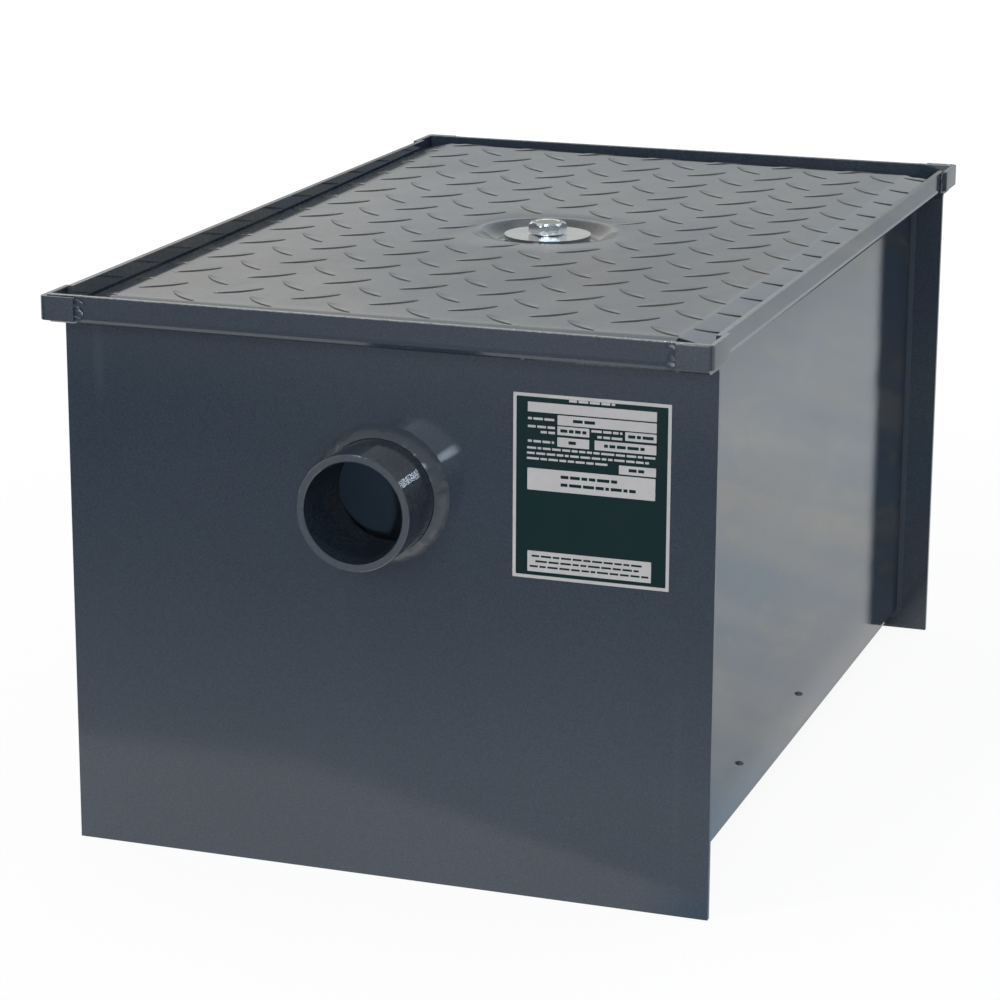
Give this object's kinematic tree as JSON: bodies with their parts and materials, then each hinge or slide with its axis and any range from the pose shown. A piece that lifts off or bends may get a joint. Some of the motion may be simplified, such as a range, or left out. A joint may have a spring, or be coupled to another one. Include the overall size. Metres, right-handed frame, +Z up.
{
  "type": "grease trap",
  "caption": "Welded steel grease trap with a pipe stub at each end, lift-out baffles inside, and a gasketed tread-plate cover held down by a centre bolt.",
  "frame": {"origin": "middle of the tank on the plane of the end plates' lower edges, which it stands on", "axes": "+X across the tank, +Y from the inlet end to the outlet end, +Z up"},
  "size_m": [0.3566, 0.6054, 0.3024],
  "materials": {
    "painted_steel": "gloss dark slate blue enamel",
    "zinc_plated_steel": "bright zinc plating",
    "black_rubber": "matte"
  },
  "bodies": {
    "tank": {"tank_body": "painted_steel", "inlet_end_plate": "painted_steel", "outlet_end_plate": "painted_steel", "inlet_pipe": "painted_steel", "outlet_pipe": "painted_steel", "inlet_pipe_weld": "painted_steel", "outlet_pipe_weld": "painted_steel", "inlet_seam_weld": "painted_steel", "outlet_seam_weld": "painted_steel", "corner_bracket_inlet_left": "painted_steel", "corner_bracket_inlet_right": "painted_steel", "corner_bracket_outlet_left": "painted_steel", "corner_bracket_outlet_right": "painted_steel", "bracket_weld_inlet_left_end": "painted_steel", "bracket_weld_inlet_left_side": "painted_steel", "bracket_weld_inlet_right_end": "painted_steel", "bracket_weld_inlet_right_side": "painted_steel", "bracket_weld_outlet_left_end": "painted_steel", "bracket_weld_outlet_left_side": "painted_steel", "bracket_weld_outlet_right_end": "painted_steel", "bracket_weld_outlet_right_side": "painted_steel", "cover": "painted_steel", "cover_gasket": "black_rubber", "hold_down_bar": "painted_steel", "bar_nut": "zinc_plated_steel", "centre_weir": "painted_steel", "inlet_baffle": "painted_steel", "outlet_baffle": "painted_steel", "inlet_baffle_guide_left": "painted_steel", "inlet_baffle_guide_right": "painted_steel", "outlet_baffle_guide_left": "painted_steel", "outlet_baffle_guide_right": "painted_steel"},
    "bolt_washers": {"cover_washer": "zinc_plated_steel", "seal_washer": "black_rubber"},
    "hold_down_bolt": {"cover_bolt": "zinc_plated_steel"}
  },
  "joints": [
    {"name": "bolt_rise", "type": "slide", "parent": "tank", "child": "bolt_washers", "axis": [0, 0, 1], "range_m": [0, 0.02735]},
    {"name": "bolt_turn", "type": "hinge", "parent": "bolt_washers", "child": "hold_down_bolt", "pos_m": [0, 0, 0.2954], "axis": [0, 0, 1], "range_deg": [0, 5040]}
  ],
  "couplings": [
    {"joint": "bolt_turn", "follows": "bolt_rise", "rad_per_m": 3215.8}
  ]
}
